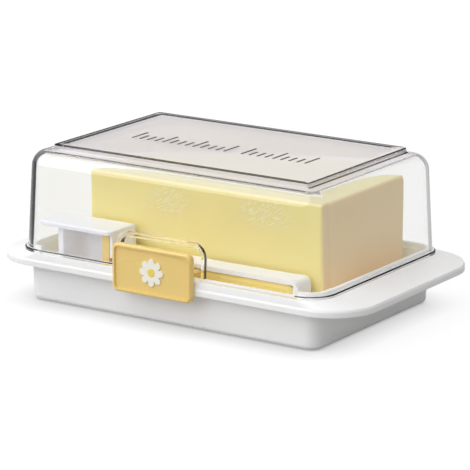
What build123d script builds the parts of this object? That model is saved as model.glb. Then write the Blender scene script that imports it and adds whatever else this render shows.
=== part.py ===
from build123d import *
from math import cos, radians, sin, tan
import os

os.makedirs("parts", exist_ok=True)

# A butter dish: a white tray with a sunk well, a clear lid with a notch in its front wall,
# and a cutter that lies in a holder beside the butter, with its grip outside the notch.
# Sizes are in millimetres. The origin is under the middle of the whole dish, with the grip's
# plate, on the surface that it stands on. +X runs along the front edge, -Y is the front and
# +Z is up. The rim is wider behind than in front, so the well and the lid lie a little forward.

# Tray
body_length = 148.0
body_width = 94.0
body_corner = 6.0
body_draft = 2.6
body_edge_radius = 2.4
well_wall = 2.0
well_floor = 2.2
well_floor_chamfer = 2.2
foot_height = 1.2
foot_width = 6.0
foot_corner = 3.0
ledge_width = 0.3
upstand_height = 2.4
upstand_wall = 1.6
upstand_return = 9.0
rim_height = 22.6
rim_fall = 2.8
rim_side = 3.1
rim_wall = 2.2
rim_corner = 22.0
rim_edge_inset = 0.4
rim_edge_fall = 0.9
rim_reach_end = 14.0
rim_reach_front = 0.6
rim_reach_back = 7.0
seat_margin = 0.4

# Lid
lid_fit = 0.3
lid_gap = 0.2
lid_wall = 2.0
lid_corner = 11.0
lid_draft = 3.2
lid_height = 46.4
shoulder_radius = 7.4
panel_margin_end = 2.0
panel_margin_side = 0.5
panel_corner = 1.8
panel_rise = 2.3
panel_draft = 8.0
flange_reach = 1.4
flange_thickness = 1.4
flange_edge_chamfer = 0.5
notch_width = 41.8
notch_height = 14.0
notch_corner = 4.2
notch_offset = 1.6
notch_lip_width = 2.3
notch_lip_reach = 1.0

# Holder of the cutter
holder_wall = 1.6
bay_room_left = 12.0
bay_room_front = 2.0
bay_length = 29.0
bay_depth = 16.5
bay_height = 32.3
bay_ramp_start = 2.5
bay_ramp_run = 6.2
bay_ramp_radius = 5.0
cap_thickness = 2.0
cap_reach_left = 10.0
cap_reach_front = 1.5
cap_corner = 2.5
cap_edge_radius = 0.8
bar_room_right = 13.5
bar_depth = 10.3
bar_roof = 2.0
bar_end_wall = 2.0
bar_end_radius = 3.2
shelf_height = 6.8
bay_foot_height = 3.5
rib_height = 4.2
rib_spacing = 60.0
rib_fit = 0.2

# Cutter
blade_length = 86.0
blade_height = 12.8
blade_thickness = 1.6
blade_setback = 0.5
blade_heel_radius = 9.0
blade_tip_radius = 3.0
blade_edge_height = 1.8
blade_edge_depth = 0.55
blade_gap = 0.3
slide_gap = 0.4
root_length = 46.5
root_height = 10.2
root_depth = 4.7
root_corner = 1.5
tab_width = 3.5
tab_depth = 6.7
stake_radius = 1.5
stake_fit = 0.15
stake_spacing = 12.0
stake_drop = 5.0
neck_width = 13.0
neck_height = 5.7
neck_lift = 0.7
plate_place = 28.1
plate_width = 40.4
plate_height = 21.0
plate_thickness = 2.8
plate_corner = 2.6
plate_edge_chamfer = 0.6
plate_reach = 2.9
plate_rise = 1.6
plate_border = 1.3
plate_field_depth = 0.8
socket_depth = 0.8
socket_fit = 0.1

# Flower on the plate
petal_count = 8
petal_length = 4.4
petal_width = 2.9
flower_radius = 6.0
flower_center_radius = 1.9
flower_center_height = 0.7
flower_center_chamfer = 0.3
flower_height = 0.5

# Butter
butter_height = 53.3
butter_edge_radius = 1.4
butter_top_radius = 1.26
butter_room_left = 15.0
butter_room_right = 8.0
butter_room_back = 6.0
butter_room_front = 2.0

# Outlines that follow from each other, from the tray's body out to its rim
body_spread = 2 * rim_height * tan(radians(body_draft))
well_length = body_length - 2 * well_wall
well_width = body_width - 2 * well_wall
well_corner = body_corner - well_wall
mouth_growth = 2 * ledge_width + 2 * upstand_wall
upstand_length = well_length + body_spread + mouth_growth
upstand_width = well_width + body_spread + mouth_growth
lid_length = upstand_length + 2 * lid_fit + 2 * lid_wall
lid_width = upstand_width + 2 * lid_fit + 2 * lid_wall
upstand_corner = lid_corner - lid_wall - lid_fit
flange_length = lid_length + 2 * flange_reach
flange_width = lid_width + 2 * flange_reach
flange_corner = lid_corner + flange_reach
seat_length = flange_length + 2 * seat_margin
seat_width = flange_width + 2 * seat_margin
seat_size = (seat_length, seat_width, flange_corner + seat_margin)
rim_length = seat_length + 2 * rim_reach_end
rim_width = seat_width + rim_reach_front + rim_reach_back
rim_size = (rim_length, rim_width, rim_corner)

# Heights
floor_top = foot_height + well_floor
rim_edge_top = rim_height - rim_fall
rim_bottom = rim_edge_top - rim_side
lid_seat = rim_height + lid_gap
lid_top = lid_seat + lid_height
shoulder_top = lid_top - panel_rise
shelf_top = floor_top + shelf_height
blade_bottom = shelf_top + blade_gap
blade_top = blade_bottom + blade_height
bar_underside = blade_top + slide_gap
bar_top = bar_underside + bar_roof
cap_top = floor_top + bay_height
cap_underside = cap_top - cap_thickness
bay_bottom = floor_top + bay_foot_height
root_bottom = blade_top - root_height
neck_bottom = rim_height + neck_lift
neck_top = neck_bottom + neck_height
plate_center_z = rim_height + plate_rise
stake_z = blade_top - stake_drop

# Places along Y, from the front edge inwards
rim_center_y = plate_reach / 2
tray_center_y = rim_center_y - (rim_reach_back - rim_reach_front) / 2
middle = Plane((0, tray_center_y, 0))
rim_middle = Plane((0, rim_center_y, 0))
plate_front_y = rim_center_y - rim_width / 2 - plate_reach
plate_back_y = plate_front_y + plate_thickness
flange_front_y = tray_center_y - flange_width / 2
bay_front_y = tray_center_y - well_width / 2 + bay_room_front
holder_back_y = bay_front_y + bay_depth
bar_front_y = holder_back_y - bar_depth
blade_front_y = bar_front_y + blade_setback
slot_back_y = blade_front_y + blade_thickness + blade_gap
hollow_back_y = holder_back_y - holder_wall
butter_front_y = holder_back_y + butter_room_front
butter_back_y = tray_center_y + well_width / 2 - butter_room_back

# Places along X
bay_left_x = -well_length / 2 + bay_room_left
bay_right_x = bay_left_x + bay_length
bar_right_x = well_length / 2 - bar_room_right
blade_tip_x = bar_right_x - bar_end_wall - slide_gap
blade_left_x = blade_tip_x - blade_length
root_left_x = bay_right_x - holder_wall - slide_gap - tab_width
plate_center_x = bay_right_x + plate_place
notch_center_x = plate_center_x + notch_offset
butter_left_x = -well_length / 2 + butter_room_left
butter_right_x = well_length / 2 - butter_room_right
stake_points = [(plate_center_x + side * stake_spacing / 2, stake_z) for side in (-1, 1)]


def between(low, high):
    """The middle of a span."""
    return (low + high) / 2


def drafted_form(length, width, corner, bottom, top, draft):
    """A solid with a rounded rectangle for its foot and sides that lean outwards by the draft."""
    with BuildPart() as form:
        with BuildSketch(middle.offset(bottom)):
            RectangleRounded(length, width, corner)
        extrude(amount=top - bottom, taper=-draft)
    return form.part


def shrunk(size, inset):
    """A rounded rectangle's length, width and corner, with its outline moved inwards."""
    length, width, corner = size
    return (length - 2 * inset, width - 2 * inset, corner - inset)


def stepped_form(sections):
    """A solid with straight sides from each rounded rectangle to the next one above it."""
    with BuildPart() as form:
        for plane, height, size in sections:
            with BuildSketch(plane.offset(height)):
                RectangleRounded(*size)
        loft(ruled=True)
    return form.part


def lid_form(inset):
    """The lid's outer form, or the hollow in it when inset is the wall."""
    spread = 2 * (shoulder_top - lid_seat) * tan(radians(lid_draft)) + 2 * shoulder_radius
    panel_length = lid_length - spread - 2 * panel_margin_end
    panel_width = lid_width - spread - 2 * panel_margin_side
    with BuildPart() as form:
        with BuildSketch(middle.offset(lid_seat)):
            RectangleRounded(lid_length - 2 * inset, lid_width - 2 * inset, lid_corner - inset)
        extrude(amount=shoulder_top - inset - lid_seat, taper=lid_draft)
        fillet(form.faces().sort_by(Axis.Z)[-1].edges(), shoulder_radius - inset)
        with BuildSketch(middle.offset(lid_top - inset)):
            RectangleRounded(panel_length - 2 * inset, panel_width - 2 * inset, panel_corner)
        extrude(amount=-panel_rise, taper=-panel_draft)
    return form.part


# Tray: a thin rim round a deep body, wide at the ends and behind, with a foot ring below and an
# upstand for the lid above
rim_outside = stepped_form([
    (rim_middle, rim_bottom, rim_size),
    (rim_middle, rim_edge_top - rim_edge_fall, rim_size),
    (rim_middle, rim_edge_top, shrunk(rim_size, rim_edge_inset)),
    (middle, rim_height, seat_size),
])
rim_hollow = stepped_form([
    (rim_middle, rim_bottom, shrunk(rim_size, rim_wall)),
    (rim_middle, rim_edge_top - rim_wall, shrunk(rim_size, rim_wall)),
    (middle, rim_height - rim_wall, shrunk(seat_size, rim_wall)),
])
body_form = drafted_form(body_length, body_width, body_corner, 0, rim_height, body_draft)
well_top = rim_height + upstand_height
with BuildPart() as well:
    add(drafted_form(well_length, well_width, well_corner, floor_top, well_top, body_draft))
    chamfer(well.edges().group_by(Axis.Z)[0], well_floor_chamfer)

with BuildPart() as tray:
    add(rim_outside)
    add(rim_hollow, mode=Mode.SUBTRACT)
    add(body_form)
    fillet(tray.edges().group_by(Axis.Z)[0], body_edge_radius)
    with BuildSketch(middle.offset(rim_height)):
        RectangleRounded(upstand_length, upstand_width, upstand_corner)
        offset(amount=-upstand_wall, mode=Mode.SUBTRACT)
        with Locations((0, -upstand_width / 2)):
            Rectangle(upstand_length - 2 * upstand_return, 4 * upstand_wall, mode=Mode.SUBTRACT)
    extrude(amount=upstand_height)
    add(well.part, mode=Mode.SUBTRACT)
    with BuildSketch(middle):
        RectangleRounded(body_length - 2 * foot_width, body_width - 2 * foot_width, foot_corner)
    extrude(amount=foot_height, mode=Mode.SUBTRACT)
    # Two ribs on the floor fit the hollow under the holder and keep it in place.
    with BuildSketch(Plane.XY.offset(floor_top)):
        with Locations((between(bay_right_x, bar_right_x), between(bar_front_y, holder_back_y))):
            with GridLocations(rib_spacing, 0, 2, 1):
                Rectangle(holder_wall, bar_depth - 2 * holder_wall - 2 * rib_fit)
    extrude(amount=rib_height)
tray.part.label = "tray"
export_step(tray.part, "parts/tray.step")

# Lid: a drafted shell with round shoulders, a raised panel and a flange, and a notch with a
# raised lip in the leaning front wall
lid_outside = lid_form(0)
lid_hollow = lid_form(lid_wall)
lip_foot = flange_thickness / 2
lid_front = Plane(
    origin=(notch_center_x, tray_center_y - lid_width / 2, lid_seat),
    x_dir=(1, 0, 0),
    z_dir=(0, -cos(radians(lid_draft)), sin(radians(lid_draft))),
)
with BuildPart() as lid:
    add(lid_outside)
    with BuildSketch(middle.offset(lid_seat)):
        RectangleRounded(flange_length, flange_width, flange_corner)
    extrude(amount=flange_thickness)
    flange_top = lid.faces().filter_by(Axis.Z).sort_by(Axis.Z)[1]
    chamfer(flange_top.outer_wire().edges(), flange_edge_chamfer)
    with BuildSketch(lid_front) as lip:
        with Locations((0, lip_foot)):
            Rectangle(
                notch_width + 2 * notch_lip_width,
                notch_height + notch_lip_width - lip_foot,
                align=(Align.CENTER, Align.MIN),
            )
        fillet(lip.vertices().group_by(Axis.Y)[-1], notch_corner + notch_lip_width)
    extrude(amount=notch_lip_reach, both=True)
    add(lid_hollow, mode=Mode.SUBTRACT)
    with BuildSketch(Plane.XZ.offset(-flange_front_y)) as notch:
        with Locations((notch_center_x, lid_seat)):
            Rectangle(notch_width, 2 * notch_height)
        fillet(notch.vertices().group_by(Axis.Y)[-1], notch_corner)
    extrude(amount=-flange_width / 4, mode=Mode.SUBTRACT)
lid.part.label = "lid"
export_step(lid.part, "parts/lid.step")

# Butter: a block on the well's floor, behind the holder
with BuildPart() as butter_block:
    with BuildSketch(Plane.XY.offset(floor_top)):
        with Locations((between(butter_left_x, butter_right_x), between(butter_front_y, butter_back_y))):
            RectangleRounded(
                butter_right_x - butter_left_x, butter_back_y - butter_front_y, butter_edge_radius
            )
    extrude(amount=butter_height)
    fillet(butter_block.edges().group_by(Axis.Z)[-1], butter_top_radius)
butter_block.part.label = "butter_block"
export_step(butter_block.part, "parts/butter_block.step")

# Holder: a bar with a slot for the blade, open to the front, and a bay for a finger and the tab
bay_center = (between(bay_left_x, bay_right_x), between(bay_front_y, holder_back_y))
with BuildPart() as cutter_holder:
    with BuildSketch(Plane.YZ.offset(bay_left_x)):
        with BuildLine():
            Polyline(
                (bar_front_y, floor_top),
                (bar_front_y, shelf_top),
                (slot_back_y, shelf_top),
                (slot_back_y, bar_underside),
                (bar_front_y, bar_underside),
                (bar_front_y, bar_top),
                (holder_back_y, bar_top),
                (holder_back_y, floor_top),
                close=True,
            )
        make_face()
    extrude(amount=bar_right_x - bay_left_x)
    with BuildSketch(Plane.YZ.offset(bar_right_x)):
        with Locations((between(bar_front_y, holder_back_y), between(floor_top, bar_top))):
            Rectangle(bar_depth, bar_top - floor_top)
    extrude(amount=-bar_end_wall)
    fillet(cutter_holder.faces().sort_by(Axis.X)[-1].edges().sort_by(Axis.Z)[-1], bar_end_radius)
    # The bay is walled behind, at the right and by a slanted ramp at the left. It starts above the
    # slope at the foot of the well's wall.
    with BuildSketch(Plane.XY.offset(bay_bottom)):
        with Locations(bay_center):
            Rectangle(bay_length, bay_depth)
    extrude(amount=cap_underside - bay_bottom)
    with BuildSketch(Plane.XY.offset(shelf_top)) as bay:
        with BuildLine():
            Polyline(
                (bay_left_x + bay_ramp_start, bay_front_y),
                (bay_left_x + bay_ramp_start + bay_ramp_run, slot_back_y),
                (bay_right_x - holder_wall, slot_back_y),
                (bay_right_x - holder_wall, bay_front_y),
                close=True,
            )
        make_face()
        fillet(bay.vertices().group_by(Axis.Y)[-1].sort_by(Axis.X)[0], bay_ramp_radius)
    extrude(amount=cap_underside - shelf_top, mode=Mode.SUBTRACT)
    # The blade and the root pass under the bay's right wall.
    with BuildSketch(Plane.YZ.offset(bay_right_x)):
        with Locations((slot_back_y, bar_underside)):
            Rectangle(bay_depth, bar_underside - shelf_top, align=(Align.MAX, Align.MAX))
    extrude(amount=-holder_wall, mode=Mode.SUBTRACT)
    with BuildSketch(Plane.XY.offset(cap_underside)):
        with Locations((bay_right_x, holder_back_y)):
            Rectangle(
                bay_length + cap_reach_left, bay_depth + cap_reach_front, align=(Align.MAX, Align.MAX)
            )
    extrude(amount=cap_thickness)
    fillet(cutter_holder.edges().filter_by(Axis.Z).group_by(Axis.Z)[-1], cap_corner)
    fillet(cutter_holder.faces().sort_by(Axis.Z)[-1].edges(), cap_edge_radius)
    # Bar and bay are hollow from below.
    with BuildSketch(Plane.XY.offset(floor_top)):
        with Locations((bar_right_x - bar_end_wall, hollow_back_y)):
            Rectangle(
                bar_right_x - bar_end_wall - bay_left_x - holder_wall,
                bar_depth - 2 * holder_wall,
                align=(Align.MAX, Align.MAX),
            )
        with Locations(bay_center):
            Rectangle(bay_length - 2 * holder_wall, bay_depth - 2 * holder_wall)
    extrude(amount=shelf_height - holder_wall, mode=Mode.SUBTRACT)
    with BuildSketch(Plane.XY.offset(floor_top)):
        with Locations((bar_right_x - bar_end_wall, hollow_back_y)):
            Rectangle(
                bar_right_x - bar_end_wall - bay_left_x - holder_wall,
                hollow_back_y - slot_back_y - holder_wall,
                align=(Align.MAX, Align.MAX),
            )
    extrude(amount=bar_top - bar_roof - floor_top, mode=Mode.SUBTRACT)
cutter_holder.part.label = "cutter_holder"
export_step(cutter_holder.part, "parts/cutter_holder.step")

# Blade: it stands on edge in the slot, with a round heel, a rounded tip and a bevelled edge
with BuildPart() as cutter_blade:
    with BuildSketch(Plane.XZ.offset(-blade_front_y)) as side:
        with Locations((blade_tip_x, blade_top)):
            Rectangle(blade_length, blade_height, align=(Align.MAX, Align.MAX))
        tip_points = side.vertices().group_by(Axis.X)[-1].sort_by(Axis.Y)
        fillet(tip_points[0], blade_heel_radius)
        fillet(side.vertices().group_by(Axis.X)[-1].sort_by(Axis.Y)[-1], blade_tip_radius)
    extrude(amount=-blade_thickness)
    front_edge = cutter_blade.faces().sort_by(Axis.Y)[0].edges().sort_by(Axis.Z)[0]
    chamfer(front_edge, blade_edge_depth, blade_edge_height)
    back_edge = cutter_blade.faces().sort_by(Axis.Y)[-1].edges().sort_by(Axis.Z)[0]
    chamfer(back_edge, blade_edge_depth, blade_edge_height)
    with BuildSketch(Plane.XZ.offset(-blade_front_y)):
        with Locations(*stake_points):
            Circle(stake_radius + stake_fit)
    extrude(amount=-blade_thickness, mode=Mode.SUBTRACT)
cutter_blade.part.label = "cutter_blade"
export_step(cutter_blade.part, "parts/cutter_blade.step")

# Grip: a root along the blade, a tab that stands up in the bay, two stakes through the blade
# and a neck that runs out over the rim and through the lid's notch
neck_tip_y = plate_back_y - socket_depth + socket_fit
with BuildPart() as cutter_grip:
    with BuildSketch(Plane.XZ.offset(-blade_front_y)) as root:
        with Locations((root_left_x, root_bottom)):
            Rectangle(root_length, root_height, align=(Align.MIN, Align.MIN))
        fillet(root.vertices().group_by(Axis.X)[-1], root_corner)
    extrude(amount=root_depth)
    with BuildSketch(Plane.XZ.offset(-blade_front_y)):
        with Locations((root_left_x, root_bottom)):
            Rectangle(tab_width, cap_underside - slide_gap - root_bottom, align=(Align.MIN, Align.MIN))
    extrude(amount=tab_depth)
    with BuildSketch(Plane.YZ.offset(plate_center_x - neck_width / 2)):
        with BuildLine():
            Polyline(
                (neck_tip_y, neck_bottom),
                (neck_tip_y, neck_top),
                (bar_front_y - slide_gap, neck_top),
                (bar_front_y - slide_gap, root_bottom + root_corner),
                (blade_front_y - root_depth, root_bottom + root_corner),
                (blade_front_y - root_depth, neck_bottom),
                close=True,
            )
        make_face()
    extrude(amount=neck_width)
    with BuildSketch(Plane.XZ.offset(-blade_front_y)):
        with Locations(*stake_points):
            Circle(stake_radius)
    extrude(amount=-blade_thickness)
cutter_grip.part.label = "cutter_grip"
export_step(cutter_grip.part, "parts/cutter_grip.step")

# Plate: a raised border round a sunk field, with a socket behind for the end of the neck
plate_center = (plate_center_x, plate_center_z)
with BuildPart() as grip_plate:
    with BuildSketch(Plane.XZ.offset(-plate_back_y)):
        with Locations(plate_center):
            RectangleRounded(plate_width, plate_height, plate_corner)
    extrude(amount=plate_thickness)
    chamfer(grip_plate.edges().group_by(Axis.Y)[0], plate_edge_chamfer)
    with BuildSketch(Plane.XZ.offset(-plate_front_y)):
        with Locations(plate_center):
            field_corner = plate_corner - plate_border / 2
            RectangleRounded(plate_width - 2 * plate_border, plate_height - 2 * plate_border, field_corner)
    extrude(amount=-plate_field_depth, mode=Mode.SUBTRACT)
    with BuildSketch(Plane.XZ.offset(-plate_back_y)):
        with Locations((plate_center_x, between(neck_bottom, neck_top))):
            Rectangle(neck_width + 2 * socket_fit, neck_height + 2 * socket_fit)
    extrude(amount=socket_depth, mode=Mode.SUBTRACT)
grip_plate.part.label = "grip_plate"
export_step(grip_plate.part, "parts/grip_plate.step")

# Flower: a ring of petals and a round centre, both on the plate's field
field_y = plate_front_y + plate_field_depth
with BuildPart() as flower_petals:
    with BuildSketch(Plane.XZ.offset(-field_y)):
        with Locations(plate_center):
            with PolarLocations(flower_radius - petal_length / 2, petal_count):
                SlotOverall(petal_length, petal_width)
            Circle(flower_center_radius, mode=Mode.SUBTRACT)
    extrude(amount=flower_height)
flower_petals.part.label = "flower_petals"
export_step(flower_petals.part, "parts/flower_petals.step")

with BuildPart() as flower_center:
    with BuildSketch(Plane.XZ.offset(-field_y)):
        with Locations(plate_center):
            Circle(flower_center_radius)
    extrude(amount=flower_center_height)
    chamfer(flower_center.edges().group_by(Axis.Y)[0], flower_center_chamfer)
flower_center.part.label = "flower_center"
export_step(flower_center.part, "parts/flower_center.step")
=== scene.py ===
import math

import bmesh
import bpy
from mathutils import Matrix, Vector, noise


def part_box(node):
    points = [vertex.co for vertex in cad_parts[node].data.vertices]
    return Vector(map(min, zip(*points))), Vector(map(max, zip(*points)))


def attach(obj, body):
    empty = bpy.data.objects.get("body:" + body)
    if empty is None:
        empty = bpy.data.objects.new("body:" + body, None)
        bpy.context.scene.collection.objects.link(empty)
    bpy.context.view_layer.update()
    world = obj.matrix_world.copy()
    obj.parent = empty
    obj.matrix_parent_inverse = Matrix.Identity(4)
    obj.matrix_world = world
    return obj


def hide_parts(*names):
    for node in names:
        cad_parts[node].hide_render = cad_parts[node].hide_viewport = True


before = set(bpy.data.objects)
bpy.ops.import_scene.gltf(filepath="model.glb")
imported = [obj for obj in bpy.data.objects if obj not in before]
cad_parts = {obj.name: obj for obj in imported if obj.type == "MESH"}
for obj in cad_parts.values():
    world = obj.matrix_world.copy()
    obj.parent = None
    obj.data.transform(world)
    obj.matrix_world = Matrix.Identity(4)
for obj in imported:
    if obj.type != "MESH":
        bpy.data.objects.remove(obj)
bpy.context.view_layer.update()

MM = 0.001

# Camera: a long lens from the front right, fitted to the photo's frame
CAMERA_PLACE = Vector((679.3, -1015.1, 346.7)) * MM
CAMERA_TARGET = Vector((3.77, -3.35, 30.06)) * MM
CAMERA_LENS = 222.2
CAMERA_SENSOR = 36.0
CAMERA_NEAR = 0.05
CAMERA_FAR = 60.0

# Lid, as in the solid: a drafted shell with round shoulders, a raised panel, a flange and a notch
LID_WALL = 2.0 * MM
LID_DRAFT = math.radians(3.2)
LID_CORNER = 11.0 * MM
SHOULDER_RADIUS = 7.4 * MM
FLANGE_REACH = 1.4 * MM
FLANGE_THICKNESS = 1.4 * MM
FLANGE_EDGE = 0.5 * MM
PANEL_MARGIN_END = 2.0 * MM
PANEL_MARGIN_SIDE = 0.5 * MM
PANEL_CORNER = 1.8 * MM
PANEL_RISE = 2.3 * MM
PANEL_DRAFT = math.radians(8.0)
NOTCH_WIDTH = 41.8 * MM
NOTCH_HEIGHT = 14.0 * MM
NOTCH_CORNER = 4.2 * MM
NOTCH_OFFSET = 1.6 * MM
NOTCH_LIP_WIDTH = 2.3 * MM
NOTCH_LIP_REACH = 1.0 * MM

# Lid, finer than the solid: small rounds along its edges, each with a middle point at a share of its size
EDGE_ROUND = 0.5 * MM
INNER_ROUND = 1.1 * MM
ROUND_MIDDLE = 0.3
LIP_ROUND = 0.7 * MM
CORNER_STEPS = 12
SHOULDER_STEPS = 10
SMOOTH_ANGLE = math.radians(30)
NOTCH_TOOL_REACH = 12.0 * MM

# Borders on the panel, painted as dark lines for the shade that refraction lays along its edges, and with
# pale film on the front and right: how far in each one ends, and the share of that by which its corners
# shrink
PANEL_LINES = (1.6 * MM, 2.7 * MM, 5.0 * MM)
LINE_CORNER_SHARE = 0.2

# Marks on the panel: two plain scales of ticks, each fourth one longer
TICK_GROUPS = ((-44.0 * MM, 13), (13.0 * MM, 9))
TICK_FOOT = -12.5 * MM
TICK_PITCH = 4.0 * MM
TICK_EVERY = 4
TICK_WIDTH = 1.1 * MM
TICK_LENGTH = 7.0 * MM
TICK_LONG = 12.0 * MM
TICK_RISE = 0.15 * MM
TICK_SUNK = 0.2 * MM
TICK_TAPER = 0.12 * MM

# Butter's shape: a block with soft edges and slightly uneven faces
BUTTER_EDGE = 1.9 * MM
BUTTER_CUTS = 56
BUTTER_UNEVEN = 0.35 * MM
BUTTER_UNEVEN_SCALE = 45.0
BUTTER_SMOOTH_ANGLE = math.radians(60)

# Butter's look: tone, relief, gloss and glow, and how far a face turns to take the painted top's or end's
# colour
BUTTER_TONE_SCALE = 22.0
BUTTER_RELIEF = 0.7 * MM
BUTTER_RELIEF_STRENGTH = 0.35
BUTTER_ROUGHNESS = (0.38, 0.55)
BUTTER_GLOW = 0.15
BUTTER_GLOW_TINT = (1.0, 0.8, 0.35)
FACING_BAND = (0.3, 0.8)

# Marks on the butter: level drag marks all over, and creases in two patches on its long sides
DRAG_SCALE = 60.0
DRAG_STRETCH = (1.0, 1.0, 5.0)
DRAG_HEIGHT = 0.5
CREASE_SCALE = 1300.0
CREASE_STRETCH = (0.25, 1.0, 1.0)
CREASE_TURN = math.radians(35)
CREASE_BAND = (0.5, 0.6)
CREASE_SHARE = 0.6
CREASE_PATCHES = (
    (Vector((-15.0, 0.0, 47.0)) * MM, Vector((14.0, 1.0, 8.0)) * MM),
    (Vector((34.5, 0.0, 48.0)) * MM, Vector((16.0, 1.0, 8.0)) * MM),
)

# Plastic: how its tone, its gloss and its skin vary, and how far and how evenly light glows through it
PLASTIC_IOR = 1.5
TONE_SCALE = 28.0
GLOSSIER = 0.04
DULLER = 0.06
SKIN_SCALE = 900.0
SKIN_HEIGHT = 0.2 * MM
SKIN_STRENGTH = 0.03
GLOW_DEPTH = 2.0 * MM
WARM_GLOW = (1.0, 0.7, 0.4)
EVEN_GLOW = (1.0, 1.0, 1.0)

# Clear plastic: the lid's four finishes, and the share of three of them that is a film: a painted dark line
# where refraction darkens the lid's edges, a milky panel, and a painted pale band where the step and
# shoulder look grey
CLEAR, PAINTED_DARK_LINE, PANEL, PAINTED_PALE_BAND = range(4)
PAINTED_DARK_LINE_SHARE = 0.8
PANEL_VEIL = 0.58
PAINTED_PALE_BAND_SHARE = 0.6
VEIL_DEPTH = 0.04
CLEAR_IOR = 1.49
CLEAR_TONE_SCALE = 40.0
CLEAR_ROUGHNESS = 0.02

# Lip of the notch: the bevel's place in its section, and the steps from its right foot that are painted
# dark, for the line that refraction darkens there
LIP_BEVEL = 1
LIP_PAINTED_DARK_STEPS = 10

# Light: a broad lamp from the front left, and a plain surround
SUN_STRENGTH = 2.0
SUN_DIRECTION = Vector((0.46, 0.6, -0.72))
SUN_ANGLE = math.radians(78)
WORLD_FILL = 0.57
FIRST_GLOSS = 0.75

# Turned light: the room's dark side, its lighter side, and the level direction from one to the other
DARK_LEFT = 0.015
DARK_RIGHT = 0.55
ACROSS = Vector((0.83, 0.556, 0.0))

# Clear surfaces that light has passed: none yet, or few enough to have turned back in the nearest wall
PASSED_NONE = 0.5
PASSED_FEW = 3.5

# Floor: its glow and tone where it is seen, its tone for fill light, and its contact shade
FLOOR_SIZE = 12.0
FLOOR_DROP = 0.2 * MM
FLOOR_SIDE = 0.2
FLOOR_GLOW = 0.92
FLOOR_SEEN = 0.1
FLOOR_FILL = 0.4
CONTACT_REACH = 17 * MM
CONTACT_SHADE = 0.5
CONTACT_START = 0.2


def srgb(red, green, blue):
    """A linear colour from the 0 to 255 values that it shows as."""
    def linear(value):
        share = value / 255
        return share / 12.92 if share <= 0.04045 else ((share + 0.055) / 1.055) ** 2.4
    return (linear(red), linear(green), linear(blue), 1.0)


# Colours
TRAY_WHITE = srgb(249, 249, 249)
HOLDER_WHITE = srgb(247, 248, 255)
GRIP_AMBER = srgb(242, 212, 132)
BLADE_YELLOW = srgb(250, 226, 130)
PETAL_WHITE = srgb(250, 247, 235)
FLOWER_YELLOW = srgb(244, 220, 96)
TICK_GREY = srgb(52, 50, 48)
BUTTER_SIDE = srgb(244, 233, 160)
BUTTER_DEEP = srgb(235, 217, 140)
# Painted light: the butter's top paler as if lit from above, its end warmer as in shade behind the lid
BUTTER_PAINTED_TOP = srgb(236, 227, 180)
BUTTER_CREASE = srgb(247, 241, 214)
BUTTER_PAINTED_END = srgb(255, 227, 174)
ACRYLIC = (0.98, 0.985, 0.99, 1.0)
# Painted shade: the near-black film for the dark lines that refraction lays along the lid's edges
PAINTED_DARK_LINE_COLOUR = (0.02, 0.02, 0.02, 1.0)
PANEL_MILK = srgb(240, 235, 238)
# Painted light: the pale film for the grey band that the lid's step and shoulder show
PAINTED_PALE_BAND_COLOUR = srgb(230, 224, 230)

# The lid's place in the frame, the plan of its wall and of its panel, and its notch in front of the grip
LID_LOW, LID_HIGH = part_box("lid")
LID_FOOT = LID_LOW.z
LID_TOP = LID_HIGH.z - TICK_RISE
LID_MIDDLE = (LID_LOW.y + LID_HIGH.y) / 2
LID_LENGTH = LID_HIGH.x - LID_LOW.x - 2 * FLANGE_REACH
LID_WIDTH = LID_HIGH.y - LID_LOW.y - 2 * FLANGE_REACH
LID_FRONT = LID_MIDDLE - LID_WIDTH / 2
WALL_PULL = 2 * (LID_TOP - LID_FOOT - PANEL_RISE) * math.tan(LID_DRAFT) + 2 * SHOULDER_RADIUS
PANEL_LENGTH = LID_LENGTH - WALL_PULL - 2 * PANEL_MARGIN_END
PANEL_WIDTH = LID_WIDTH - WALL_PULL - 2 * PANEL_MARGIN_SIDE
PLATE_LOW, PLATE_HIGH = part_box("grip_plate")
NOTCH_CENTER = (PLATE_LOW.x + PLATE_HIGH.x) / 2 + NOTCH_OFFSET


# Nodes

def feed(tree, socket, value):
    """Links the value to the socket where it is one itself, and sets it otherwise."""
    if isinstance(value, bpy.types.NodeSocket):
        tree.links.new(value, socket)
    else:
        socket.default_value = value


def add_node(tree, kind, **inputs):
    """A node of that kind, with each named input linked to a socket or set to a value."""
    node = tree.nodes.new(kind)
    for name, value in inputs.items():
        feed(tree, node.inputs[name.replace("_", " ")], value)
    return node


def calculated(tree, operation, first, second):
    """The result of one operation on two values or sockets."""
    node = tree.nodes.new("ShaderNodeMath")
    node.operation = operation
    feed(tree, node.inputs[0], first)
    feed(tree, node.inputs[1], second)
    return node.outputs[0]


def spread(tree, value, low, high, start=0.3, end=0.7):
    """A value between start and end, spread over low to high."""
    node = add_node(tree, "ShaderNodeMapRange", Value=value)
    for name, number in (("From Min", start), ("From Max", end), ("To Min", low), ("To Max", high)):
        node.inputs[name].default_value = number
    return node.outputs[0]


def own_place(tree):
    """The place on the object itself, which moves with it."""
    return tree.nodes.new("ShaderNodeTexCoord").outputs["Object"]


def noise_value(tree, scale, detail=3.0, stretch=(1.0, 1.0, 1.0), turn=0.0):
    """Noise over the object's own place, turned about Y, with its scale in features per metre."""
    turned = add_node(tree, "ShaderNodeMapping", Vector=own_place(tree), Rotation=(0.0, turn, 0.0))
    mapping = add_node(tree, "ShaderNodeMapping", Vector=turned.outputs[0], Scale=stretch)
    texture = add_node(tree, "ShaderNodeTexNoise", Vector=mapping.outputs[0], Scale=scale, Detail=detail)
    return texture.outputs[0]


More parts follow.
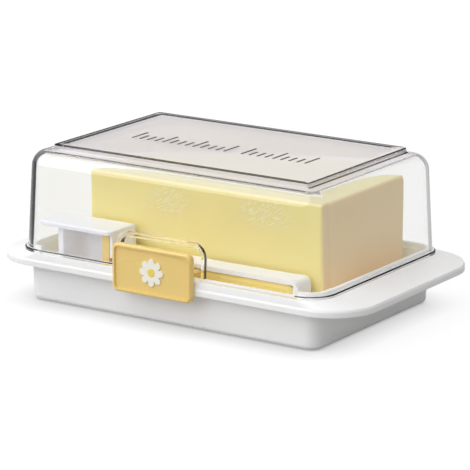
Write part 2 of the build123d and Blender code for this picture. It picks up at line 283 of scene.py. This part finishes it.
def soft_patch(tree, center, reach):
    """1 near the centre of an ellipse as seen from the front, and 0 past its edge."""
    scale = (1 / reach.x, 0.0, 1 / reach.z)
    shift = (-center.x / reach.x, 0.0, -center.z / reach.z)
    mapping = add_node(tree, "ShaderNodeMapping", Vector=own_place(tree), Scale=scale, Location=shift)
    distance = tree.nodes.new("ShaderNodeVectorMath")
    distance.operation = "LENGTH"
    tree.links.new(mapping.outputs[0], distance.inputs[0])
    return spread(tree, distance.outputs["Value"], 1.0, 0.0, start=0.5, end=1.0)


def mixed(tree, share, first, second):
    """The first colour, changed into the second as share goes from 0 to 1."""
    mix = tree.nodes.new("ShaderNodeMix")
    mix.data_type = "RGBA"
    for name, value in (("Factor", share), ("A", first), ("B", second)):
        feed(tree, [found for found in mix.inputs if found.name == name and found.enabled][0], value)
    return [found for found in mix.outputs if found.enabled][0]


def mixed_shader(tree, share, first, second):
    """The first shader, changed into the second as share goes from 0 to 1."""
    mix = tree.nodes.new("ShaderNodeMixShader")
    for socket, value in zip(mix.inputs, (share, first, second)):
        feed(tree, socket, value)
    return mix.outputs[0]


def shaded(tree, colour, value, depth):
    """The colour, darker by up to depth where the value is high."""
    dark = tuple(channel * (1 - depth) for channel in colour[:3]) + (1.0,)
    return mixed(tree, value, colour, dark)


# Materials

def new_material(name):
    """An empty node material and its node tree."""
    material = bpy.data.materials.new(name)
    material.use_nodes = True
    material.node_tree.nodes.clear()
    return material, material.node_tree


def finish_material(material, tree, shader):
    """The material, with that shader as its surface."""
    output = tree.nodes.new("ShaderNodeOutputMaterial")
    tree.links.new(shader, output.inputs["Surface"])
    return material


def moulded_plastic(name, colour, roughness=0.22, depth=0.04, glow=0.0, tint=WARM_GLOW):
    """Smooth moulded plastic with slight changes of tone, gloss and level, and light that glows through."""
    material, tree = new_material(name)
    broad = noise_value(tree, TONE_SCALE)
    fine = noise_value(tree, SKIN_SCALE, detail=2.0)
    skin = add_node(tree, "ShaderNodeBump", Strength=SKIN_STRENGTH, Distance=SKIN_HEIGHT, Height=fine)
    shader = add_node(
        tree, "ShaderNodeBsdfPrincipled",
        Base_Color=shaded(tree, colour, broad, depth),
        Roughness=spread(tree, broad, roughness - GLOSSIER, roughness + DULLER),
        Normal=skin.outputs[0],
    )
    shader.inputs["IOR"].default_value = PLASTIC_IOR
    shader.inputs["Subsurface Weight"].default_value = glow
    shader.inputs["Subsurface Radius"].default_value = tint
    shader.inputs["Subsurface Scale"].default_value = GLOW_DEPTH
    return finish_material(material, tree, shader.outputs[0])


def butter_colour(tree, marks):
    """Yellow sides, with painted light: a pale top as if lit from above, and a warmer end as in the shade
    and reflections behind the lid; paler along the marks.
    """
    place = tree.nodes.new("ShaderNodeTexCoord")
    facing = add_node(tree, "ShaderNodeSeparateXYZ", Vector=place.outputs["Normal"])
    # Painted light: faces turned up take the paler top colour, faces turned to the end the warmer one
    upward = spread(tree, facing.outputs["Z"], 0.0, 1.0, *FACING_BAND)
    endward = spread(tree, facing.outputs["X"], 0.0, 1.0, *FACING_BAND)
    broad = noise_value(tree, BUTTER_TONE_SCALE, detail=4.0)
    side = mixed(tree, broad, BUTTER_SIDE, BUTTER_DEEP)
    with_painted_top = mixed(tree, upward, side, BUTTER_PAINTED_TOP)
    body = mixed(tree, endward, with_painted_top, BUTTER_PAINTED_END)
    return mixed(tree, calculated(tree, "MULTIPLY", marks, CREASE_SHARE), body, BUTTER_CREASE)


def butter_material():
    """Butter: soft and slightly see-through, with drag marks and two patches of creases."""
    material, tree = new_material("butter")
    drag = noise_value(tree, DRAG_SCALE, detail=4.0, stretch=DRAG_STRETCH)
    creases = noise_value(tree, CREASE_SCALE, detail=2.0, stretch=CREASE_STRETCH, turn=CREASE_TURN)
    patches = [soft_patch(tree, center, reach) for center, reach in CREASE_PATCHES]
    marks = calculated(tree, "MULTIPLY", spread(tree, creases, 0.0, 1.0, *CREASE_BAND),
                       calculated(tree, "MAXIMUM", *patches))
    height = calculated(tree, "ADD", calculated(tree, "MULTIPLY", drag, DRAG_HEIGHT), marks)
    skin = add_node(
        tree, "ShaderNodeBump",
        Strength=BUTTER_RELIEF_STRENGTH, Distance=BUTTER_RELIEF, Height=height,
    )
    shader = add_node(
        tree, "ShaderNodeBsdfPrincipled",
        Base_Color=butter_colour(tree, marks),
        Roughness=spread(tree, drag, *BUTTER_ROUGHNESS),
        Normal=skin.outputs[0],
    )
    shader.inputs["Specular IOR Level"].default_value = 0.3
    shader.inputs["Subsurface Weight"].default_value = BUTTER_GLOW
    shader.inputs["Subsurface Radius"].default_value = BUTTER_GLOW_TINT
    shader.inputs["Subsurface Scale"].default_value = GLOW_DEPTH
    return finish_material(material, tree, shader.outputs[0])


def clear_plastic(name, veil=0.0, tint=ACRYLIC):
    """Clear acrylic that lets the lamp through, with a film of the tint over the veil's share of it."""
    material, tree = new_material(name)
    broad = noise_value(tree, CLEAR_TONE_SCALE)
    glass = add_node(tree, "ShaderNodeBsdfPrincipled", Roughness=spread(tree, broad, 0.0, CLEAR_ROUGHNESS))
    glass.inputs["Base Color"].default_value = ACRYLIC
    glass.inputs["IOR"].default_value = CLEAR_IOR
    glass.inputs["Transmission Weight"].default_value = 1.0
    seen = glass.outputs[0]
    if veil:
        film = add_node(tree, "ShaderNodeBsdfDiffuse", Color=shaded(tree, tint, broad, VEIL_DEPTH))
        seen = mixed_shader(tree, veil, seen, film.outputs[0])
    open_way = tree.nodes.new("ShaderNodeBsdfTransparent")
    path = tree.nodes.new("ShaderNodeLightPath")
    through = calculated(tree, "MAXIMUM", path.outputs["Is Shadow Ray"], path.outputs["Is Diffuse Ray"])
    return finish_material(material, tree, mixed_shader(tree, through, seen, open_way.outputs[0]))


def lid_finishes():
    """The lid's materials in the order of CLEAR, PAINTED_DARK_LINE, PANEL and PAINTED_PALE_BAND."""
    return [
        clear_plastic("clear_plastic"),
        # Painted shade: dark lines along the lid's edges
        clear_plastic("clear_plastic_painted_dark_line", PAINTED_DARK_LINE_SHARE, PAINTED_DARK_LINE_COLOUR),
        clear_plastic("clear_plastic_panel", PANEL_VEIL, PANEL_MILK),
        # Painted light: a pale band on the step and shoulder
        clear_plastic("clear_plastic_painted_pale_band", PAINTED_PALE_BAND_SHARE, PAINTED_PALE_BAND_COLOUR),
    ]


# Meshes

def smooth(mesh, angle):
    """Shades the mesh smooth, except where its faces meet at more than the angle."""
    mesh.polygons.foreach_set("use_smooth", [True] * len(mesh.polygons))
    mesh.set_sharp_from_angle(angle=angle)


def new_piece(name, data, materials, angle=SMOOTH_ANGLE):
    """An object from bmesh data with those materials, in the scene."""
    mesh = bpy.data.meshes.new(name)
    data.to_mesh(mesh)
    data.free()
    smooth(mesh, angle)
    piece = bpy.data.objects.new(name, mesh)
    bpy.context.scene.collection.objects.link(piece)
    for material in materials:
        mesh.materials.append(material)
    return piece


def bridge(data, loops):
    """Faces between each closed loop of corners and the next, as one list for each band."""
    bands = []
    for low, high in zip(loops, loops[1:]):
        count = len(low)
        band = []
        for index in range(count):
            following = (index + 1) % count
            band.append(data.faces.new((low[index], low[following], high[following], high[index])))
        bands.append(band)
    return bands


def combine(piece, tool, operation):
    """Joins the tool to the piece or cuts it out of the piece, and removes the tool."""
    modifier = piece.modifiers.new("shape", "BOOLEAN")
    modifier.operation = operation
    modifier.solver = "EXACT"
    modifier.object = tool
    bpy.context.view_layer.update()
    graph = bpy.context.evaluated_depsgraph_get()
    result = bpy.data.meshes.new_from_object(piece.evaluated_get(graph))
    piece.modifiers.clear()
    piece.data = result
    bpy.data.objects.remove(tool)
    smooth(result, SMOOTH_ANGLE)


# Lid

def lid_ring(data, length, width, corner, height):
    """Corners round a rounded rectangle over the lid's middle, from the right end of its front side."""
    ring = []
    half_x, half_y = length / 2 - corner, width / 2 - corner
    centers = [(half_x, -half_y, -90), (half_x, half_y, 0), (-half_x, half_y, 90), (-half_x, -half_y, 180)]
    for x, y, start in centers:
        for step in range(CORNER_STEPS + 1):
            angle = math.radians(start + 90 * step / CORNER_STEPS)
            along, deep = x + corner * math.cos(angle), LID_MIDDLE + y + corner * math.sin(angle)
            ring.append(data.verts.new((along, deep, height)))
    return ring


def flange_sections():
    """Rounded rectangles (length, width, corner, height) up the outside of the flange, to the wall."""
    pull = FLANGE_THICKNESS * math.tan(LID_DRAFT)
    steps = [
        (FLANGE_REACH, 0.0),
        (FLANGE_REACH, FLANGE_THICKNESS - FLANGE_EDGE),
        (FLANGE_REACH - FLANGE_EDGE, FLANGE_THICKNESS),
        (-pull, FLANGE_THICKNESS),
    ]
    return [(LID_LENGTH + 2 * out, LID_WIDTH + 2 * out, LID_CORNER + out, LID_FOOT + rise)
            for out, rise in steps]


def wall_sections(inset):
    """Rounded rectangles up the leaning wall and over the shoulder, in from the outside by the inset."""
    radius = SHOULDER_RADIUS - inset
    start = LID_TOP - PANEL_RISE - inset - LID_FOOT - radius * (1 - math.sin(LID_DRAFT))
    sections = [(LID_LENGTH - 2 * inset, LID_WIDTH - 2 * inset, LID_CORNER - inset, LID_FOOT)]
    for step in range(SHOULDER_STEPS):
        turn = LID_DRAFT + (math.pi / 2 - LID_DRAFT) * step / SHOULDER_STEPS
        height = start + radius * (math.sin(turn) - math.sin(LID_DRAFT))
        pull = inset + start * math.tan(LID_DRAFT) + radius * (math.cos(LID_DRAFT) - math.cos(turn))
        sections.append((LID_LENGTH - 2 * pull, LID_WIDTH - 2 * pull, LID_CORNER - pull, LID_FOOT + height))
    return sections


def panel_sections(inset, round_size):
    """Rounded rectangles up the panel's step, with a small round at its foot and at its edge."""
    flare = PANEL_RISE * math.tan(PANEL_DRAFT)
    small = ROUND_MIDDLE * round_size
    steps = [
        (flare + round_size, -PANEL_RISE),
        (flare + small, small - PANEL_RISE),
        (flare, round_size - PANEL_RISE),
        (0.0, -round_size),
        (-small, -small),
        (-round_size, 0.0),
    ]
    return [(PANEL_LENGTH - 2 * inset + 2 * out, PANEL_WIDTH - 2 * inset + 2 * out,
             PANEL_CORNER + out, LID_TOP - inset + rise) for out, rise in steps]


def paint(faces, finish):
    """Gives all the faces one of the lid's finishes."""
    for face in faces:
        face.material_index = finish


def paint_sides(faces, finishes):
    """Gives each face the finish of the panel's side that it lies on, or leaves it clear."""
    for face in faces:
        spot = face.calc_center_median()
        across, deep = spot.x / PANEL_LENGTH, (spot.y - LID_MIDDLE) / PANEL_WIDTH
        if abs(across) > abs(deep):
            side = "right" if across > 0 else "left"
        else:
            side = "rear" if deep > 0 else "front"
        face.material_index = finishes.get(side, CLEAR)


def lid_shell(data):
    """Rings and faces from the lid's inner panel down to its foot, and up the outside to its panel."""
    inner = wall_sections(LID_WALL) + panel_sections(LID_WALL, INNER_ROUND)
    outer = flange_sections() + wall_sections(0)[1:] + panel_sections(0, EDGE_ROUND)
    loops = [lid_ring(data, *section) for section in inner[::-1] + outer]
    bands = bridge(data, loops)
    flange_edge = bands[len(inner) + 1]
    shoulder, ledge, low_foot, high_foot, step, low_edge, high_edge = bands[-7:]
    # Painted shade: dark lines on the flange's edge, on the panel's edge rounds and on the right of the
    # foot
    paint(flange_edge + low_edge + high_edge, PAINTED_DARK_LINE)
    # Painted light: a pale band on the step, and on the front and right of the shoulder, ledge and front
    # foot
    paint(step, PAINTED_PALE_BAND)
    paint_sides(shoulder + ledge, {"front": PAINTED_PALE_BAND, "right": PAINTED_PALE_BAND})
    paint_sides(low_foot + high_foot, {"front": PAINTED_PALE_BAND, "right": PAINTED_DARK_LINE})
    return loops


def panel_top(data, edge):
    """The flat top inside the panel's edge: three borders with painted dark lines and painted pale film,
    and the milky middle.
    """
    border = [edge]
    for inset in PANEL_LINES:
        corner = PANEL_CORNER - LINE_CORNER_SHARE * inset
        border.append(lid_ring(data, PANEL_LENGTH - 2 * inset, PANEL_WIDTH - 2 * inset, corner, LID_TOP))
    # Painted shade and light: dark lines on the front, rear and left borders, pale film on the front and
    # right
    outer_line, gap, inner_line = bridge(data, border)
    paint_sides(outer_line, {"front": PAINTED_DARK_LINE, "right": PANEL, "rear": PAINTED_DARK_LINE, "left": PAINTED_DARK_LINE})
    paint_sides(gap, {"front": PANEL, "right": PANEL})
    paint_sides(inner_line, {"front": PANEL, "right": PANEL, "rear": PAINTED_DARK_LINE, "left": PAINTED_DARK_LINE})
    paint([data.faces.new(border[-1])], PANEL)


def lid_piece():
    """The clear lid as one closed solid, with a lip round the notch in its front wall."""
    data = bmesh.new()
    loops = lid_shell(data)
    panel_top(data, loops[-1])
    data.faces.new(loops[0][::-1])
    bmesh.ops.recalc_face_normals(data, faces=data.faces)
    piece = new_piece("clear_lid", data, lid_finishes())
    combine(piece, notch_lip(), "UNION")
    combine(piece, notch_cutter(), "DIFFERENCE")
    # Painted light: a pale film on the flange right of the notch, where the clear flange looks pale
    for face in piece.data.polygons:
        on_flange = face.center.z < LID_FOOT + 2 * FLANGE_THICKNESS and face.center.y < LID_FRONT
        if on_flange and NOTCH_CENTER < face.center.x < PANEL_LENGTH / 2:
            face.material_index = PANEL
    return piece


def notch_outline(grow, foot):
    """Points (across, up) from the right foot over the notch to the left foot, grown by that much."""
    half, top, corner = NOTCH_WIDTH / 2 + grow, NOTCH_HEIGHT + grow, NOTCH_CORNER + grow
    points = [(half, foot)]
    for side, start in ((1, 0), (-1, 90)):
        for step in range(CORNER_STEPS + 1):
            angle = math.radians(start + 90 * step / CORNER_STEPS)
            points.append((side * (half - corner) + corner * math.cos(angle),
                           top - corner + corner * math.sin(angle)))
    points.append((-half, foot))
    return points


def notch_lip():
    """The raised lip as an arch that stands on the flange and leans with the wall."""
    section = [
        (NOTCH_LIP_WIDTH, -NOTCH_LIP_REACH),
        (NOTCH_LIP_WIDTH, NOTCH_LIP_REACH - LIP_ROUND),
        (NOTCH_LIP_WIDTH - LIP_ROUND, NOTCH_LIP_REACH),
        (-NOTCH_LIP_REACH, NOTCH_LIP_REACH),
        (-NOTCH_LIP_REACH, -NOTCH_LIP_REACH),
    ]
    lean_y, lean_z = math.sin(LID_DRAFT), math.cos(LID_DRAFT)
    data = bmesh.new()
    lines = []
    for grow, out in section:
        line = []
        for across, up in notch_outline(grow, FLANGE_THICKNESS / 2):
            y = LID_FRONT + up * lean_y - out * lean_z
            z = LID_FOOT + up * lean_z + out * lean_y
            line.append(data.verts.new((NOTCH_CENTER + across, y, z)))
        lines.append(line)
    for index in range(len(lines[0]) - 1):
        for place, line in enumerate(lines):
            other = lines[(place + 1) % len(lines)]
            face = data.faces.new((line[index], other[index], other[index + 1], line[index + 1]))
            # Painted shade: the bevel's first steps take the dark film, for the line refraction darkens at
            # the notch's right
            if place == LIP_BEVEL and index < LIP_PAINTED_DARK_STEPS:
                face.material_index = PAINTED_DARK_LINE
    data.faces.new([line[0] for line in reversed(lines)])
    data.faces.new([line[-1] for line in lines])
    bmesh.ops.recalc_face_normals(data, faces=data.faces)
    return new_piece("lip_tool", data, [])


def notch_cutter():
    """A prism through the front wall with the notch's outline."""
    outline = notch_outline(0.0, -NOTCH_HEIGHT)
    data = bmesh.new()
    ends = []
    for y in (LID_FRONT - NOTCH_TOOL_REACH, LID_FRONT + NOTCH_TOOL_REACH):
        ends.append([data.verts.new((NOTCH_CENTER + across, y, LID_FOOT + up)) for across, up in outline])
    bridge(data, ends)
    data.faces.new(ends[0])
    data.faces.new(ends[1][::-1])
    bmesh.ops.recalc_face_normals(data, faces=data.faces)
    return new_piece("notch_tool", data, [])


# Ticks and butter

def tick_ring(data, middle, size, inset, height):
    """Corners round one tick with its round ends, in from its side by the inset."""
    x, y = middle
    radius, straight = TICK_WIDTH / 2 - inset, size / 2 - TICK_WIDTH / 2
    ring = []
    for side, start in ((1, 0), (-1, 180)):
        for step in range(CORNER_STEPS + 1):
            angle = math.radians(start + 180 * step / CORNER_STEPS)
            along, deep = x + radius * math.cos(angle), y + side * straight + radius * math.sin(angle)
            ring.append(data.verts.new((along, deep, height)))
    return ring


def tick_marks():
    """Two rows of small raised ticks with round ends, sunk a little into the panel."""
    sections = ((0.0, LID_TOP - TICK_SUNK), (0.0, LID_TOP), (TICK_TAPER, LID_HIGH.z))
    data = bmesh.new()
    for first, count in TICK_GROUPS:
        for index in range(count):
            size = TICK_LENGTH if index % TICK_EVERY else TICK_LONG
            middle = (first + index * TICK_PITCH, TICK_FOOT + size / 2)
            loops = [tick_ring(data, middle, size, inset, height) for inset, height in sections]
            bridge(data, loops)
            data.faces.new(loops[-1])
            data.faces.new(loops[0][::-1])
    bmesh.ops.recalc_face_normals(data, faces=data.faces)
    return new_piece("panel_ticks", data, [moulded_plastic("tick_grey", TICK_GREY, roughness=0.35)])


def butter_piece():
    """The block of butter with soft edges and slightly uneven faces, within its solid."""
    low_corner, high_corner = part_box("butter_block")
    center = (low_corner + high_corner) / 2
    half = (high_corner - low_corner) / 2
    core = [extent - BUTTER_EDGE for extent in half]
    data = bmesh.new()
    bmesh.ops.create_cube(data, size=2.0)
    bmesh.ops.subdivide_edges(data, edges=data.edges[:], cuts=BUTTER_CUTS, use_grid_fill=True)
    for corner in data.verts:
        spaced = [half[axis] * math.sin(corner.co[axis] * math.pi / 2) for axis in range(3)]
        inside = Vector([max(-core[axis], min(core[axis], spaced[axis])) for axis in range(3)])
        outward = Vector(spaced) - inside
        if outward.length > 0:
            outward.normalize()
        place = inside + outward * BUTTER_EDGE
        sink = 0.5 + 0.5 * noise.noise((place + center) * BUTTER_UNEVEN_SCALE)
        corner.co = center + place - outward * BUTTER_UNEVEN * sink
        corner.co.z = max(corner.co.z, low_corner.z)
    bmesh.ops.recalc_face_normals(data, faces=data.faces)
    return new_piece("butter", data, [butter_material()], angle=BUTTER_SMOOTH_ANGLE)


# Stage

def turned_share(tree):
    """1 for light that has turned back inside clear plastic, and 0 for all other light."""
    path = tree.nodes.new("ShaderNodeLightPath")
    turned = calculated(tree, "MULTIPLY", path.outputs["Glossy Depth"], path.outputs["Transmission Depth"])
    near_wall = calculated(tree, "LESS_THAN", path.outputs["Transmission Depth"], PASSED_FEW)
    return calculated(tree, "MULTIPLY", near_wall, calculated(tree, "MINIMUM", turned, 1.0))


def side_level(tree, place, reach):
    """How bright turned light finds the room, from dark to lighter over the reach on each side."""
    across = tree.nodes.new("ShaderNodeVectorMath")
    across.operation = "DOT_PRODUCT"
    tree.links.new(place, across.inputs[0])
    across.inputs[1].default_value = ACROSS
    return spread(tree, across.outputs["Value"], DARK_LEFT, DARK_RIGHT, start=-reach, end=reach)


def plain_level(tree):
    """How bright the room looks to other light: white, but less as a first reflection."""
    path = tree.nodes.new("ShaderNodeLightPath")
    outside = calculated(tree, "LESS_THAN", path.outputs["Transmission Depth"], PASSED_NONE)
    mirrored = calculated(tree, "MULTIPLY", path.outputs["Is Glossy Ray"], outside)
    return spread(tree, mirrored, 1.0, FIRST_GLOSS, start=0.0, end=1.0)


def seen_share(tree):
    """1 for light that reaches the camera straight, by a mirror or through glass, and 0 for fill light."""
    path = tree.nodes.new("ShaderNodeLightPath")
    share = calculated(tree, "MAXIMUM", path.outputs["Is Camera Ray"], path.outputs["Is Glossy Ray"])
    return calculated(tree, "MAXIMUM", share, path.outputs["Is Transmission Ray"])


def grey(level):
    """A colour without hue."""
    return (level, level, level, 1.0)


def floor_material():
    """White with a soft shadow where it is seen, dimmer to turned light, and a plain grey to fill light."""
    material, tree = new_material("floor")
    plain = add_node(tree, "ShaderNodeBsdfDiffuse", Color=grey(FLOOR_FILL))
    faint = add_node(tree, "ShaderNodeBsdfDiffuse", Color=grey(FLOOR_SEEN))
    hidden = add_node(tree, "ShaderNodeAmbientOcclusion", Distance=CONTACT_REACH)
    contact = spread(tree, hidden.outputs["AO"], CONTACT_SHADE, 1.0, start=CONTACT_START, end=1.0)
    full = calculated(tree, "MULTIPLY", contact, FLOOR_GLOW)
    level = calculated(tree, "MULTIPLY", plain_level(tree), full)
    glow = add_node(tree, "ShaderNodeEmission", Color=grey(1.0), Strength=level)
    lit = tree.nodes.new("ShaderNodeAddShader")
    tree.links.new(faint.outputs[0], lit.inputs[0])
    tree.links.new(glow.outputs[0], lit.inputs[1])
    dim_level = side_level(tree, own_place(tree), FLOOR_SIDE)
    dim = add_node(tree, "ShaderNodeEmission", Color=grey(1.0), Strength=dim_level)
    seen = mixed_shader(tree, turned_share(tree), lit.outputs[0], dim.outputs[0])
    return finish_material(material, tree, mixed_shader(tree, seen_share(tree), plain.outputs[0], seen))


def make_floor():
    """A wide floor, a hair under the dish."""
    data = bmesh.new()
    bmesh.ops.create_grid(data, x_segments=1, y_segments=1, size=FLOOR_SIZE)
    floor = new_piece("floor", data, [floor_material()])
    floor.location.z = -FLOOR_DROP


def make_world():
    """White all round for what is seen, and a gentler fill for what is lit."""
    world = bpy.data.worlds.new("studio")
    bpy.context.scene.world = world
    world.use_nodes = True
    tree = world.node_tree
    tree.nodes.clear()
    strength = add_node(tree, "ShaderNodeMapRange", Value=seen_share(tree))
    strength.inputs["To Min"].default_value = WORLD_FILL
    direction = tree.nodes.new("ShaderNodeTexCoord")
    dim_level = side_level(tree, direction.outputs["Generated"], 1.0)
    turned = turned_share(tree)
    bright = calculated(tree, "MULTIPLY", plain_level(tree), calculated(tree, "SUBTRACT", 1.0, turned))
    level = calculated(tree, "ADD", bright, calculated(tree, "MULTIPLY", turned, dim_level))
    tree.links.new(level, strength.inputs["To Max"])
    sky = add_node(tree, "ShaderNodeBackground", Color=grey(1.0), Strength=strength.outputs[0])
    output = tree.nodes.new("ShaderNodeOutputWorld")
    tree.links.new(sky.outputs[0], output.inputs[0])


def make_sun():
    """The broad lamp."""
    lamp = bpy.data.lights.new("sun", "SUN")
    lamp.energy = SUN_STRENGTH
    lamp.angle = SUN_ANGLE
    sun = bpy.data.objects.new("sun", lamp)
    sun.rotation_euler = SUN_DIRECTION.to_track_quat("-Z", "Y").to_euler()
    bpy.context.scene.collection.objects.link(sun)


def make_camera():
    """The scene's camera."""
    lens = bpy.data.cameras.new("camera")
    lens.lens = CAMERA_LENS
    lens.sensor_fit = "AUTO"
    lens.sensor_width = CAMERA_SENSOR
    lens.clip_start = CAMERA_NEAR
    lens.clip_end = CAMERA_FAR
    camera = bpy.data.objects.new("camera", lens)
    camera.location = CAMERA_PLACE
    camera.rotation_euler = (CAMERA_TARGET - CAMERA_PLACE).to_track_quat("-Z", "Y").to_euler()
    bpy.context.scene.collection.objects.link(camera)
    bpy.context.scene.camera = camera


make_camera()
make_world()
make_sun()
make_floor()

white = moulded_plastic(
    "white_plastic", TRAY_WHITE, roughness=0.38, depth=0.012, glow=0.4, tint=EVEN_GLOW,
)
cool_white = moulded_plastic(
    "holder_plastic", HOLDER_WHITE, roughness=0.32, depth=0.012, glow=0.2, tint=EVEN_GLOW,
)
amber = moulded_plastic("amber_plastic", GRIP_AMBER, roughness=0.28, glow=0.2)
looks = {
    "tray": white,
    "cutter_holder": cool_white,
    "cutter_grip": amber,
    "grip_plate": amber,
    "cutter_blade": moulded_plastic("blade_plastic", BLADE_YELLOW, roughness=0.25, glow=0.2),
    "flower_petals": moulded_plastic("flower_white", PETAL_WHITE, roughness=0.5),
    "flower_center": moulded_plastic("flower_yellow", FLOWER_YELLOW, roughness=0.5),
}
for node_name, material in looks.items():
    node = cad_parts[node_name]
    node.data.materials.clear()
    node.data.materials.append(material)

lid = lid_piece()
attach(lid, "lid")
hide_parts("lid")

ticks = tick_marks()
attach(ticks, "lid")

butter = butter_piece()
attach(butter, "tray")
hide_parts("butter_block")

scene = bpy.context.scene
scene.view_settings.view_transform = "Standard"
scene.cycles.max_bounces = 32
scene.cycles.diffuse_bounces = 12
scene.cycles.glossy_bounces = 16
scene.cycles.transmission_bounces = 24
scene.cycles.transparent_max_bounces = 24

bpy.context.view_layer.update()
